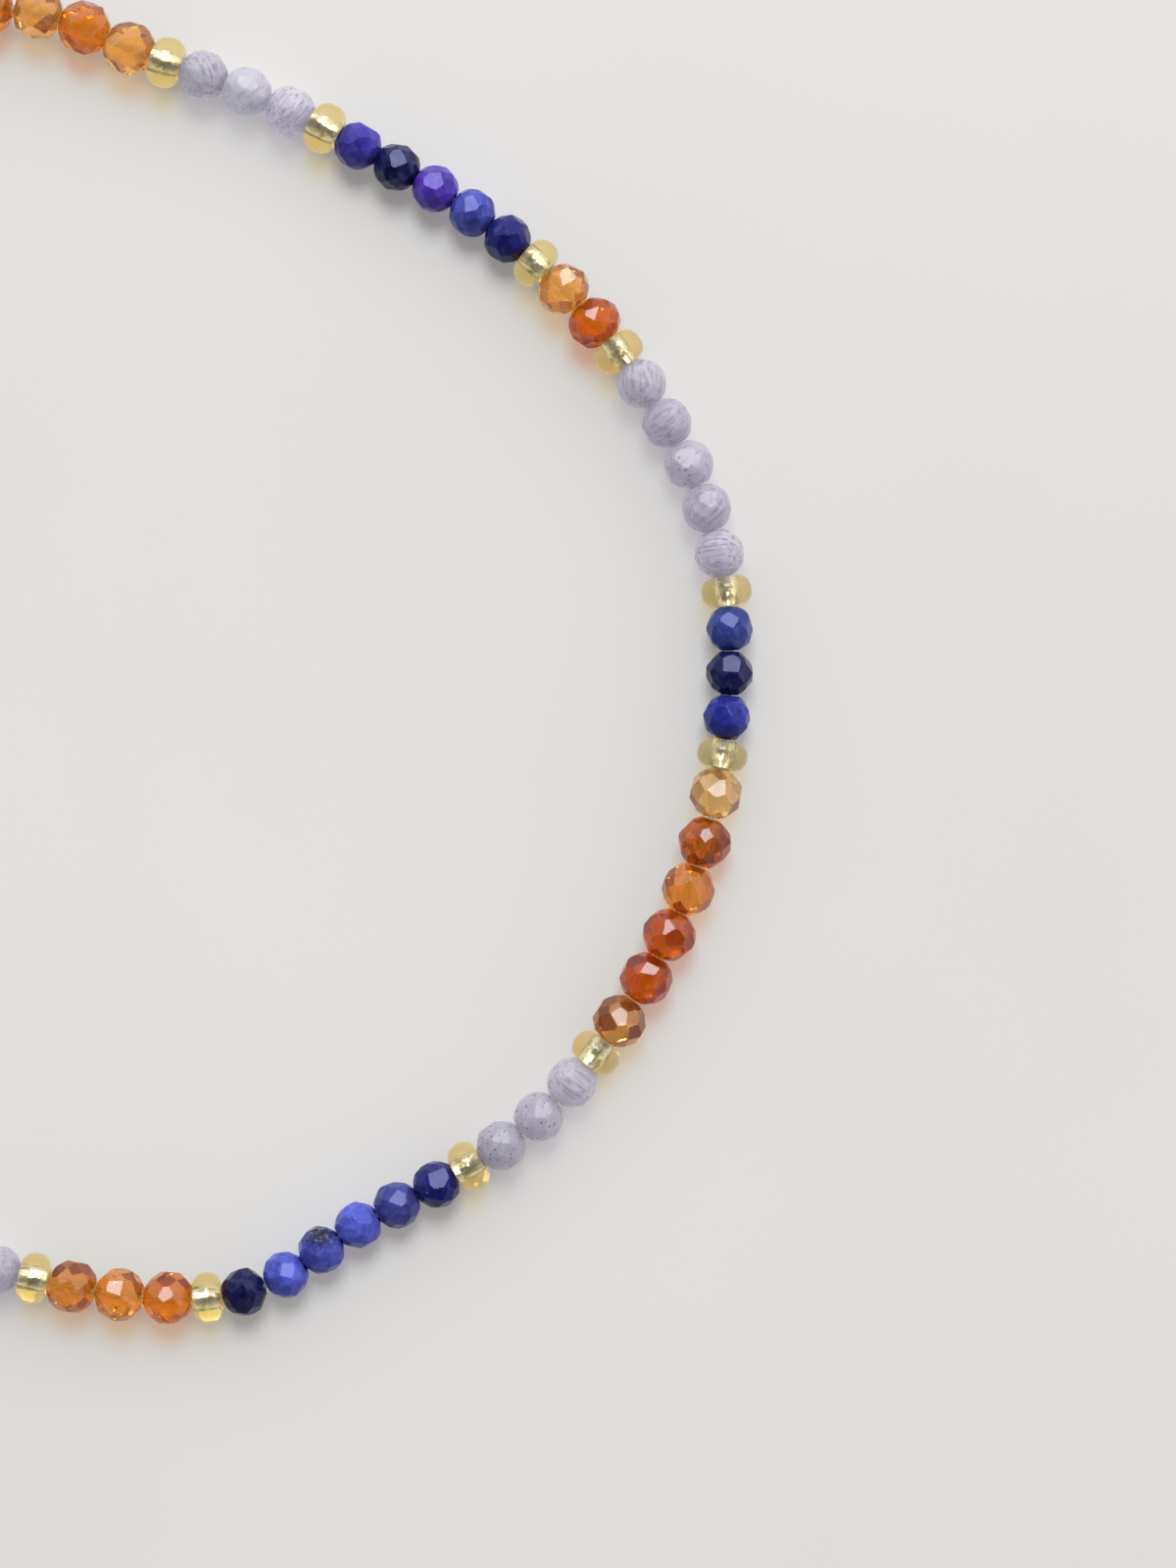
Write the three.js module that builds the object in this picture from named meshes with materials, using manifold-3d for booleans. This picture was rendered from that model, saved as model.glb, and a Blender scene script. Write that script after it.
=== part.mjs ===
// A fine bead bracelet, lying flat as a closed loop.
//
// Small faceted round stones in three colours are strung in runs. One glass
// seed bead separates each run from the next, and a plain eight-sided barrel
// clasp closes the loop. Millimetres, +Z up; the loop lies in the XY plane
// with every bead touching z = 0, and the origin is under the middle of the
// loop's bounding box.

import * as THREE from 'three';
import { ConvexGeometry } from 'three/addons/geometries/ConvexGeometry.js';
import { mergeVertices } from 'three/addons/utils/BufferGeometryUtils.js';
import Module from 'manifold-3d';

const wasm = await Module();
wasm.setup();

// ---------------------------------------------------------------- dimensions

const GAP = 0.05;                // clear space between two neighbouring pieces
const BORE_RADIUS = 0.25;        // drilled hole of a stone
const NECK_RADIUS = 0.33;        // neck round the hole that joins the stones of one run
const BORE_SIDES = 6;

const FACETS_ROUND = 6;          // facets in one row round a stone
const RINGS_PER_HALF = 3;        // rings of corners between the girdle and a drilled end

const SEED_DIAMETER = 2.2;       // seed bead: width, length along the thread, hole
const SEED_LENGTH = 1.22;
const SEED_HOLE = 0.62;
const SEED_SIDES = 10;

const THREAD_RADIUS = 0.14;
const THREAD_SIDES = 6;
const THREAD_STEP = 2.0;         // length of one straight piece of the thread's tube
const THREAD_HEIGHT = 1.1;       // the thread's axis above the surface

const CLASP_ACROSS = 2.4;        // clasp: width over flats, chamfer of its ends
const CLASP_CHAMFER = 0.45;
const CLASP_GAP = 0.16;          // clear space at its ends: it is straight where the row bends
const CLASP_SOCKET_RADIUS = 0.40;
const CLASP_SOCKET_DEPTH = 1.4;
const THREAD_IN_CLASP = 1.1;     // how far each thread end reaches into its socket

// The stones: width over corners, colour, surface.
const STONES = {
  orange:   { across: 2.35, color: 0xc46a24, roughness: 0.12 },
  lavender: { across: 2.22, color: 0xb3abc8, roughness: 0.28 },
  blue:     { across: 2.10, color: 0x2c3486, roughness: 0.25 },
};

// The thread's route: its reach from the loop's middle at each bearing.
// Bearings are in degrees, clockwise from +Y; the curve between rows is a
// closed Catmull-Rom spline.
const ROUTE = [
  { bearing: -10, reach: 28.35 }, { bearing: -2,  reach: 27.39 },
  { bearing: 5,   reach: 26.11 }, { bearing: 12,  reach: 25.51 },
  { bearing: 20,  reach: 25.10 }, { bearing: 30,  reach: 24.92 },
  { bearing: 41,  reach: 25.35 }, { bearing: 52,  reach: 25.92 },
  { bearing: 63,  reach: 26.60 }, { bearing: 74,  reach: 27.36 },
  { bearing: 85,  reach: 27.76 }, { bearing: 96,  reach: 27.75 },
  { bearing: 107, reach: 27.86 }, { bearing: 118, reach: 27.89 },
  { bearing: 127, reach: 27.89 }, { bearing: 136, reach: 27.90 },
  { bearing: 145, reach: 27.49 }, { bearing: 155, reach: 27.30 },
  { bearing: 165, reach: 28.35 }, { bearing: 175, reach: 27.85 },
  { bearing: 187, reach: 26.92 }, { bearing: 207, reach: 27.17 },
  { bearing: 231, reach: 27.90 }, { bearing: 257, reach: 28.70 },
  { bearing: 283, reach: 29.27 }, { bearing: 309, reach: 29.42 },
  { bearing: 331, reach: 29.10 },
];
const FIRST_RUN_STARTS = -2.52;  // distance along the route from its first row

// The runs, clockwise: stone, how many, length of one along the thread, and
// what follows the run.
const RUNS = [
  { stone: 'orange',   beads: 5, pitch: 2.123, then: 'seed' },
  { stone: 'lavender', beads: 3, pitch: 2.037, then: 'seed' },
  { stone: 'blue',     beads: 5, pitch: 1.908, then: 'seed' },
  { stone: 'orange',   beads: 2, pitch: 1.973, then: 'seed' },
  { stone: 'lavender', beads: 5, pitch: 2.033, then: 'seed' },
  { stone: 'blue',     beads: 3, pitch: 1.918, then: 'seed' },
  { stone: 'orange',   beads: 6, pitch: 2.144, then: 'seed' },
  { stone: 'lavender', beads: 3, pitch: 2.037, then: 'seed' },
  { stone: 'blue',     beads: 6, pitch: 1.908, then: 'seed' },
  { stone: 'orange',   beads: 3, pitch: 2.091, then: 'seed' },
  { stone: 'lavender', beads: 4, pitch: 2.03,  then: 'seed' },
  { stone: 'blue',     beads: 4, pitch: 1.91,  then: 'seed' },
  { stone: 'orange',   beads: 4, pitch: 2.12,  then: 'seed' },
  { stone: 'lavender', beads: 3, pitch: 2.03,  then: 'seed clasp seed' },
  { stone: 'blue',     beads: 5, pitch: 1.91,  then: 'seed' },
  { stone: 'orange',   beads: 2, pitch: 2.12,  then: 'seed' },
  { stone: 'lavender', beads: 5, pitch: 2.03,  then: 'seed' },
  { stone: 'blue',     beads: 3, pitch: 1.91,  then: 'seed' },
];

// ------------------------------------------------------------------ helpers

const DEG = Math.PI / 180;
const UP = new THREE.Vector3(0, 0, 1);

// A small repeatable random sequence, from 0 to 1.
let state = 20611;
const random = () => (state = (state * 1664525 + 1013904223) % 4294967296) / 4294967296;

const toSolid = (geometry) => {
  const bare = geometry.clone();
  bare.deleteAttribute('normal');
  bare.deleteAttribute('uv');
  const merged = mergeVertices(bare, 1e-5);
  return new wasm.Manifold(new wasm.Mesh({
    numProp: 3,
    vertProperties: new Float32Array(merged.attributes.position.array),
    triVerts: new Uint32Array(merged.index.array),
  }));
};

const toGeometry = (solid) => {
  const mesh = solid.getMesh();
  const geometry = new THREE.BufferGeometry();
  geometry.setAttribute('position', new THREE.BufferAttribute(mesh.vertProperties, 3));
  geometry.setIndex(new THREE.BufferAttribute(mesh.triVerts, 1));
  return geometry;
};

// ------------------------------------------------------------------- route

// The closed spline as fine steps, each with its distance along the thread.
const corners = ROUTE.map(({ bearing, reach }) => new THREE.Vector3(
  reach * Math.sin(bearing * DEG), reach * Math.cos(bearing * DEG), 0));
const route = new THREE.CatmullRomCurve3(corners, true, 'catmullrom', 0.5);
route.arcLengthDivisions = 4000;
const LOOP_LENGTH = route.getLength();

const wrap = (distance) => ((distance / LOOP_LENGTH) % 1 + 1) % 1;
const placeAt = (distance) => route.getPointAt(wrap(distance));
const alongAt = (distance) => route.getTangentAt(wrap(distance));

// A plain round strand along the route between two distances, as a tube with
// straight steps.
const strand = (from, to, radius, sides, steps, height) => {
  const points = [];
  const fine = steps * 4;
  for (let i = 0; i <= fine; i += 1) {
    points.push(placeAt(from + ((to - from) * i) / fine).setZ(height));
  }
  const outline = new THREE.Shape();
  for (let i = 0; i < sides; i += 1) {
    const a = ((i + 0.5) * 2 * Math.PI) / sides;
    if (i === 0) outline.moveTo(radius * Math.cos(a), radius * Math.sin(a));
    else outline.lineTo(radius * Math.cos(a), radius * Math.sin(a));
  }
  outline.closePath();
  return new THREE.ExtrudeGeometry(outline, {
    steps, bevelEnabled: false, extrudePath: new THREE.CatmullRomCurve3(points, false, 'centripetal'),
  });
};

// ------------------------------------------------------------------ stones

// Corner points of one faceted round stone about its thread axis (local Z).
// The corners lie in rings, each turned by half a facet from the last, on a
// sphere that is then drawn out to the stone's length. Every facet is a flat
// lozenge over three rings, and the last ring bounds the drilled end.
const stonePoints = (across, length, turn) => {
  const half = Math.PI / FACETS_ROUND;
  const rings = [{ reach: 1, rise: 0 }, { reach: Math.cos(half), rise: Math.sin(half) }];
  while (rings.length <= RINGS_PER_HALF) {
    const [lower, sides] = rings.slice(-2);
    const run = sides.reach * Math.cos(half) - lower.reach;
    const rise = sides.rise - lower.rise;
    const on = (-2 * (lower.reach * run + lower.rise * rise)) / (run * run + rise * rise);
    rings.push({ reach: lower.reach + on * run, rise: lower.rise + on * rise });
  }
  const draw = length / 2 / rings[RINGS_PER_HALF].rise;
  const points = [];
  rings.forEach(({ reach, rise }, ring) => {
    for (let i = 0; i < FACETS_ROUND; i += 1) {
      const a = (2 * i + (ring % 2)) * half + turn;
      const r = (across / 2) * reach;
      for (const side of ring === 0 ? [0] : [-1, 1]) {
        points.push(new THREE.Vector3(r * Math.cos(a), r * Math.sin(a), side * rise * draw));
      }
    }
  });
  return points;
};

// A run: its stones side by side, each resting on z = 0, joined by a short neck
// between their flat ends and drilled through along the thread.
const stoneRun = ({ stone, beads, pitch }, start) => {
  const first = start + pitch / 2;
  const last = first + (beads - 1) * pitch;
  let solid = toSolid(strand(first, last, NECK_RADIUS, BORE_SIDES, beads - 1, THREAD_HEIGHT));
  for (let i = 0; i < beads; i += 1) {
    const middle = first + i * pitch;
    const turned = new THREE.Quaternion().setFromUnitVectors(UP, alongAt(middle));
    const points = stonePoints(STONES[stone].across, pitch - GAP, random() * 2 * Math.PI);
    points.forEach((p) => p.applyQuaternion(turned));
    const lowest = Math.min(...points.map((p) => p.z));
    points.forEach((p) => p.add(placeAt(middle)).setZ(p.z - lowest));
    solid = solid.add(toSolid(new ConvexGeometry(points)));
  }
  const bore = strand(start - 0.2, start + beads * pitch + 0.2, BORE_RADIUS, BORE_SIDES, beads, THREAD_HEIGHT);
  return toGeometry(solid.subtract(toSolid(bore)));
};

// ------------------------------------------------------- seed beads, clasp

// A seed bead: a short rounded ring about the thread.
const seedBead = () => {
  const r = SEED_DIAMETER / 2;
  const h = SEED_LENGTH / 2;
  const hole = SEED_HOLE / 2;
  const profile = [
    [hole, -h], [r * 0.7, -h], [r, -h * 0.45],
    [r, h * 0.45], [r * 0.7, h], [hole, h], [hole, -h],
  ].map(([x, y]) => new THREE.Vector2(x, y));
  return new THREE.LatheGeometry(profile, SEED_SIDES).rotateX(Math.PI / 2);
};

// The clasp: an eight-sided bar with chamfered ends, a flat side down, and a
// blind socket in each end for the thread.
const claspBarrel = (length) => {
  const size = (CLASP_ACROSS / 2 - CLASP_CHAMFER) / Math.cos(Math.PI / 8);
  const outline = new THREE.Shape();
  for (let i = 0; i < 8; i += 1) {
    const a = ((i + 0.5) * Math.PI) / 4;
    const x = size * Math.cos(a);
    const y = size * Math.sin(a);
    if (i === 0) outline.moveTo(x, y);
    else outline.lineTo(x, y);
  }
  outline.closePath();
  const bar = new THREE.ExtrudeGeometry(outline, {
    depth: length - 2 * CLASP_CHAMFER, steps: 1,
    bevelEnabled: true, bevelThickness: CLASP_CHAMFER, bevelSize: CLASP_CHAMFER, bevelSegments: 1,
  }).translate(0, 0, -length / 2 + CLASP_CHAMFER);
  let solid = toSolid(bar);
  for (const side of [-1, 1]) {
    const socket = new THREE.CylinderGeometry(
      CLASP_SOCKET_RADIUS, CLASP_SOCKET_RADIUS, CLASP_SOCKET_DEPTH * 2, 12).rotateX(Math.PI / 2);
    solid = solid.subtract(toSolid(socket.translate(0, 0, (side * length) / 2)));
  }
  return toGeometry(solid);
};

// Stand a piece on the thread at a distance along it: its local Z follows the
// thread and its local Y points up.
const setOnThread = (geometry, distance, height) => {
  const along = alongAt(distance);
  const across = new THREE.Vector3().crossVectors(UP, along);
  const turn = new THREE.Matrix4().makeBasis(across, UP.clone(), along);
  const place = placeAt(distance);
  return geometry.clone().applyMatrix4(turn).translate(place.x, place.y, height);
};

// ---------------------------------------------------------------- assembly

const finish = (color, roughness, metalness) =>
  new THREE.MeshStandardMaterial({ color, roughness, metalness });

const bracelet = new THREE.Group();
const place = (name, geometry, material) => {
  const mesh = new THREE.Mesh(geometry, material);
  mesh.name = name;
  bracelet.add(mesh);
  return mesh;
};

// The clasp takes the length that the stones and seed beads leave, less its
// own wider gaps.
const seeds = RUNS.reduce((n, run) => n + run.then.split('seed').length - 1, 0);
const stones = RUNS.reduce((mm, run) => mm + run.beads * run.pitch, 0);
const gaps = RUNS.length + seeds + 1;
const CLASP_SPACE = LOOP_LENGTH - stones - seeds * SEED_LENGTH - gaps * GAP;
const CLASP_LENGTH = CLASP_SPACE - 2 * (CLASP_GAP - GAP);

const seedShape = seedBead();
const counts = { orange: 0, lavender: 0, blue: 0, seed: 0 };
let distance = FIRST_RUN_STARTS;
let claspAt = 0;
for (const run of RUNS) {
  counts[run.stone] += 1;
  const { color, roughness } = STONES[run.stone];
  place(`${run.stone}_run_${counts[run.stone]}`, stoneRun(run, distance), finish(color, roughness, 0));
  distance += run.beads * run.pitch + GAP;
  for (const piece of run.then.split(' ')) {
    const length = piece === 'seed' ? SEED_LENGTH : CLASP_SPACE;
    const middle = distance + length / 2;
    if (piece === 'seed') {
      counts.seed += 1;
      place(`gold_seed_${counts.seed}`, setOnThread(seedShape, middle, SEED_DIAMETER / 2),
        finish(0xd9c07a, 0.15, 0.2));
    } else {
      claspAt = middle;
      place('clasp', setOnThread(claspBarrel(CLASP_LENGTH), middle, CLASP_ACROSS / 2),
        finish(0xd0a850, 0.3, 1));
    }
    distance += length + GAP;
  }
}

// The thread leaves one socket of the clasp, goes round the loop and ends in
// the other.
const threadFrom = claspAt + CLASP_LENGTH / 2 - THREAD_IN_CLASP;
const threadTo = claspAt - CLASP_LENGTH / 2 + THREAD_IN_CLASP + LOOP_LENGTH;
place('thread',
  strand(threadFrom, threadTo, THREAD_RADIUS, THREAD_SIDES,
    Math.round((threadTo - threadFrom) / THREAD_STEP), THREAD_HEIGHT),
  finish(0xe8e4da, 0.6, 0));

// Bring the middle of the loop's box over the origin.
const box = new THREE.Box3();
bracelet.children.forEach((mesh) => {
  mesh.geometry.computeBoundingBox();
  box.union(mesh.geometry.boundingBox);
});
const middle = box.getCenter(new THREE.Vector3());
bracelet.children.forEach((mesh) => mesh.geometry.translate(-middle.x, -middle.y, -box.min.z));

export default bracelet;
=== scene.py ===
import math

import bmesh
import bpy
import numpy as np
from mathutils import Matrix, Vector, noise


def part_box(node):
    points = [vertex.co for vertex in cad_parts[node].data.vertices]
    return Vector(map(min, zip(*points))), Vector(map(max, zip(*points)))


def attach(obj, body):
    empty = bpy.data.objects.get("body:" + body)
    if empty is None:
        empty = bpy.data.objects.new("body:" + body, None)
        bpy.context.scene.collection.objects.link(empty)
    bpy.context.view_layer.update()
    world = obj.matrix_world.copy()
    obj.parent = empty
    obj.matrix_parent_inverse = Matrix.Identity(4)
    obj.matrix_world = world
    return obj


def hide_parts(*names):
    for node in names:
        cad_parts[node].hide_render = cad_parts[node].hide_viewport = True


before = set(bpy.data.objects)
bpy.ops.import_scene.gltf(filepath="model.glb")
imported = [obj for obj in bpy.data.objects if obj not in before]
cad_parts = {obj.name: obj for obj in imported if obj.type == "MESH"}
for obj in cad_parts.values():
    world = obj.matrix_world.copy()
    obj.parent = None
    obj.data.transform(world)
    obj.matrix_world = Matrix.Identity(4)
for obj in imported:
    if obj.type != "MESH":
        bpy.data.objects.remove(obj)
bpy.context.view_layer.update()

MM = 0.001

# ------------------------------------------------------------------ the route
# The thread's closed route and the runs of beads, in millimetres, as in the CAD
# source. Bearings run clockwise from +Y.
ROUTE = [
    (-10, 28.35), (-2, 27.39), (5, 26.11), (12, 25.51), (20, 25.10), (30, 24.92),
    (41, 25.35), (52, 25.92), (63, 26.60), (74, 27.36), (85, 27.76), (96, 27.75),
    (107, 27.86), (118, 27.89), (127, 27.89), (136, 27.90), (145, 27.49),
    (155, 27.30), (165, 28.35), (175, 27.85), (187, 26.92), (207, 27.17),
    (231, 27.90), (257, 28.70), (283, 29.27), (309, 29.42), (331, 29.10),
]
FIRST_RUN_STARTS = -2.52
GAP = 0.05
TOUCH = 0.012        # stones of one run all but touch
SEED_LENGTH = 1.22
THREAD_HEIGHT = 1.1
CLASP_ACROSS = 2.4
CLASP_GAP = 0.16
THREAD_IN_CLASP = 1.1
ACROSS = {"orange": 2.35, "lavender": 2.22, "blue": 2.10}
RUNS = [
    ("orange", 5, 2.123, "s"), ("lavender", 3, 2.037, "s"), ("blue", 5, 1.908, "s"),
    ("orange", 2, 1.973, "s"), ("lavender", 5, 2.033, "s"), ("blue", 3, 1.918, "s"),
    ("orange", 6, 2.144, "s"), ("lavender", 3, 2.037, "s"), ("blue", 6, 1.908, "s"),
    ("orange", 3, 2.091, "s"), ("lavender", 4, 2.03, "s"), ("blue", 4, 1.91, "s"),
    ("orange", 4, 2.12, "s"), ("lavender", 3, 2.03, "scs"), ("blue", 5, 1.91, "s"),
    ("orange", 2, 2.12, "s"), ("lavender", 5, 2.03, "s"), ("blue", 3, 1.91, "s"),
]

_corner = np.array([[r * math.sin(math.radians(b)), r * math.cos(math.radians(b))] for b, r in ROUTE])


def _spline(t):
    """Point and direction on the closed Catmull-Rom spline, t from 0 to 1."""
    n = len(_corner)
    p = (np.asarray(t, float) % 1.0) * n
    i = np.floor(p).astype(int)
    w = (p - i)[..., None]
    p0, p1, p2, p3 = (_corner[(i + k) % n] for k in (-1, 0, 1, 2))
    a, b = 0.5 * (p2 - p0), 0.5 * (p3 - p1)
    c2, c3 = -3 * p1 + 3 * p2 - 2 * a - b, 2 * p1 - 2 * p2 + a + b
    return p1 + a * w + c2 * w * w + c3 * w ** 3, a + 2 * c2 * w + 3 * c3 * w * w


_t = np.linspace(0, 1, 4001)
_q = _spline(_t[:-1])[0]
_q = np.vstack([_q, _q[:1]])
_s = np.r_[0, np.cumsum(np.linalg.norm(np.diff(_q, axis=0), axis=1))]
LOOP = _s[-1]


def place(distance):
    """Point (x, y) and unit direction at a distance along the route."""
    t = np.interp(np.asarray(distance, float) % LOOP, _s, _t)
    p, d = _spline(t)
    return p, d / np.linalg.norm(d, axis=-1, keepdims=True)


seeds_total = sum(r[3].count("s") for r in RUNS)
CLASP_SPACE = LOOP - sum(r[1] * r[2] for r in RUNS) - seeds_total * SEED_LENGTH - (len(RUNS) + seeds_total + 1) * GAP
CLASP_LENGTH = CLASP_SPACE - 2 * (CLASP_GAP - GAP)
stones, seeds, clasp_at = [], [], 0.0     # every bead's run number and distance
distance = FIRST_RUN_STARTS
for number, (kind, count, pitch, then) in enumerate(RUNS):
    for k in range(count):
        stones.append((number, k, kind, pitch - TOUCH, distance + (k + 0.5) * pitch))
    distance += count * pitch + GAP
    for piece in then:
        length = SEED_LENGTH if piece == "s" else CLASP_SPACE
        if piece == "s":
            seeds.append(distance + length / 2)
        else:
            clasp_at = distance + length / 2
        distance += length + GAP

_lo, _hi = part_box("clasp")
_c = place(clasp_at)[0]
SHIFT = np.array([(_lo.x + _hi.x) / 2 / MM - _c[0], (_lo.y + _hi.y) / 2 / MM - _c[1]])


def stand(distance, height):
    """Frame on the thread: origin in mm and the columns across, up, along."""
    p, d = place(distance)
    along = np.array([d[0], d[1], 0.0])
    up = np.array([0.0, 0.0, 1.0])
    return np.array([p[0] + SHIFT[0], p[1] + SHIFT[1], height]), np.column_stack([np.cross(up, along), up, along])


# The room's light: one bright soft window and a dim wide panel, by azimuth
# (clockwise from north), zenith angle, width and height in degrees, and
# brightness. The polished facets flash the window straight back.
PANELS = [("window", 5, 35, 27.5, 25.5, 8.7), ("wall", 12, 52, 100, 44, 0.55)]


def towards(azimuth, zenith):
    a, z = math.radians(azimuth), math.radians(zenith)
    return np.array([math.sin(a) * math.sin(z), math.cos(a) * math.sin(z), math.cos(z)])


EYE = np.array([22.4, -5.7, 151.1])     # where the bracelet is looked at from, in mm


def flash_at(point, facing=None):
    """The facet normal that shows the window to the eye from a point, and the
    normal that lies `facing` (east, north, as shares of a stone's radius) as the
    eye sees it."""
    see = (EYE - point) / np.linalg.norm(EYE - point)
    both = towards(PANELS[0][1], PANELS[0][2]) + see
    east = np.cross([0, 1.0, 0], see)
    east /= np.linalg.norm(east)
    seen = None
    if facing is not None:
        e, n = facing
        seen = e * east + n * np.cross(see, east) + math.sqrt(1 - e * e - n * n) * see
    return both / np.linalg.norm(both), seen


def nearest(flash, d, most):
    """The direction nearest d within `most` degrees of flash."""
    apart = math.acos(max(-1.0, min(1.0, float(flash @ d))))
    if apart < math.radians(most):
        return d
    t = math.radians(most) / apart
    return (math.sin((1 - t) * apart) * flash + math.sin(t * apart) * d) / math.sin(apart)


# ------------------------------------------------------- one faceted stone
ROUND = 8      # facets in one row


def facet_rows():
    """Rows of facets on a unit sphere: (latitude, distance from the middle, turn)."""
    half = math.pi / ROUND
    rings = [(1.0, 0.0), (math.cos(half), math.sin(half))]
    while len(rings) <= 4:
        (lr, lz), (sr, sz) = rings[-2:]
        run, rise = sr * math.cos(half) - lr, sz - lz
        on = -2 * (lr * run + lz * rise) / (run * run + rise * rise)
        rings.append((lr + on * run, lz + on * rise))
    rows = [(0.0, math.cos(half), 1)]
    for k in range(4):
        (lr, lz), (sr, sz) = rings[k], rings[k + 1]
        run, rise = sr * math.cos(half) - lr, sz - lz
        lat = math.atan2(-run, rise)
        d = lr * math.cos(lat) + lz * math.sin(lat)
        for side in (1, -1):
            rows.append((side * lat, d, k % 2))
    return rows, rings[4][1]


FACET_ROWS, END_RISE = facet_rows()


def stone_planes(rng, wobble, keep=None, flash=None, scale=(1, 1, 1), cut=1.0):
    """Facet normals and distances, each a little off true as on hand-cut stones.
    keep is the (row, place) of a facet that stays true, or is turned about its
    own middle until its normal is `flash`, a direction in the stone's own axes."""
    normals, far = [], []
    half = math.pi / ROUND
    for row, (lat, d, odd) in enumerate(FACET_ROWS):
        for i in range(ROUND):
            a = (2 * i + odd) * half
            la = lat
            dd = d
            if keep != (row, i):
                a += rng.normal(0, wobble) / max(0.35, math.cos(lat))
                la += rng.normal(0, wobble)
                dd *= 1 + rng.normal(0, wobble * 0.32)
            n = np.array([math.cos(la) * math.cos(a), math.cos(la) * math.sin(a), math.sin(la)])
            if keep == (row, i) and flash is not None:
                c = n * dd
                n = flash * np.array(scale)
                n /= np.linalg.norm(n)
                dd = float(n @ c) * cut
            normals.append(n)
            far.append(dd)
    for side in (1, -1):
        normals.append((0, 0, side))
        far.append(END_RISE)
    return np.array(normals), np.array(far)


def polyhedron(normals, far):
    """Corners of the solid inside the planes, and each plane's corner numbers in
    order round it, from the hull of the planes' poles."""
    bm = bmesh.new()
    for n, d in zip(normals, far):
        bm.verts.new(n / d)
    bm.verts.index_update()
    bm.verts.ensure_lookup_table()
    bmesh.ops.convex_hull(bm, input=list(bm.verts))
    bmesh.ops.triangulate(bm, faces=list(bm.faces))
    bm.verts.ensure_lookup_table()
    corners, around = [], [[] for _ in normals]
    for k, f in enumerate(bm.faces):
        ids = [v.index for v in f.verts]
        corners.append(np.linalg.solve(normals[ids], far[ids]))
        for i in ids:
            around[i].append(k)
    bm.free()
    corners = np.array(corners)
    one = list(range(len(corners)))               # corners that all but meet become one
    for k in range(len(corners)):
        for j in range(k):
            if np.linalg.norm(corners[k] - corners[j]) < 0.012:
                one[k] = one[j]
                break
    corners = np.array([corners[[j for j in range(len(one)) if one[j] == one[k]]].mean(0) for k in range(len(one))])
    for i, ks in enumerate(around):
        ks = sorted({one[k] for k in ks})
        if len(ks) < 3:
            around[i] = []
            continue
        n = normals[i]
        u = np.cross(n, [0.3, 0.5, 0.8] if abs(n @ [0.3, 0.5, 0.8]) < 0.95 * np.linalg.norm([0.3, 0.5, 0.8]) else [1, 0, 0])
        u /= np.linalg.norm(u)
        v = np.cross(n, u)
        q = corners[ks] - corners[ks].mean(0)
        around[i] = [ks[j] for j in np.argsort(np.arctan2(q @ v, q @ u))]
    return corners, around


class Build:
    """Gathers vertices, faces and per-point values of one mesh."""

    def __init__(self):
        self.co, self.no, self.faces, self.mat = [], [], [], []
        self.values = {}

    def add(self, co, no, faces, mats, **values):
        base = len(self.co)
        self.co += [tuple(p) for p in co]
        self.no += [tuple(n) for n in no]
        self.faces += [[base + i for i in f] for f in faces]
        self.mat += list(mats)
        for key, value in values.items():
            self.values.setdefault(key, []).extend(value)

    def object(self, name, materials):
        mesh = bpy.data.meshes.new(name)
        mesh.from_pydata([Vector(p) * MM for p in self.co], [], self.faces)
        for m in materials:
            mesh.materials.append(m)
        mesh.polygons.foreach_set("material_index", self.mat)
        mesh.polygons.foreach_set("use_smooth", [True] * len(self.faces))
        for key, value in self.values.items():
            arr = np.array(value, np.float32)
            if arr.ndim == 1:
                mesh.attributes.new(key, "FLOAT", "POINT").data.foreach_set("value", arr)
            elif arr.shape[1] == 3:
                mesh.attributes.new(key, "FLOAT_VECTOR", "POINT").data.foreach_set("vector", arr.ravel())
            else:
                mesh.attributes.new(key, "FLOAT_COLOR", "POINT").data.foreach_set("color", arr.ravel())
        mesh.update()
        mesh.normals_split_custom_set_from_vertices([Vector(n).normalized() for n in self.no])
        o = bpy.data.objects.new(name, mesh)
        bpy.context.scene.collection.objects.link(o)
        return o


def zip_rings(outer, outer_angle, inner, inner_angle):
    """Triangles that join two closed rings of point numbers, by angle."""
    faces, i, j = [], 0, 0
    oa = np.unwrap(np.r_[outer_angle, outer_angle[0] + 0])
    no, ni = len(outer), len(inner)
    start = outer_angle[0]
    oa = [((a - start) % (2 * math.pi)) for a in outer_angle] + [2 * math.pi]
    shift = int(np.argmin([(a - start) % (2 * math.pi) for a in inner_angle]))
    inner = inner[shift:] + inner[:shift]
    ia = [((inner_angle[(k + shift) % ni] - start) % (2 * math.pi)) for k in range(ni)] + [2 * math.pi + 1e-6]
    while i < no or j < ni:
        if j >= ni or (i < no and oa[i + 1] <= ia[j + 1] if j + 1 <= ni else True):
            faces.append([outer[i % no], outer[(i + 1) % no], inner[j % ni]])
            i += 1
        else:
            faces.append([outer[i % no], inner[(j + 1) % ni], inner[j % ni]])
            j += 1
    return faces


BORE = 0.30          # mouth of a stone's hole and its small countersink
COUNTERSINK = 0.35
HOLE = {"orange": 0.34, "lavender": 0.30, "blue": 0.30}     # the hole inside the stone


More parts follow.
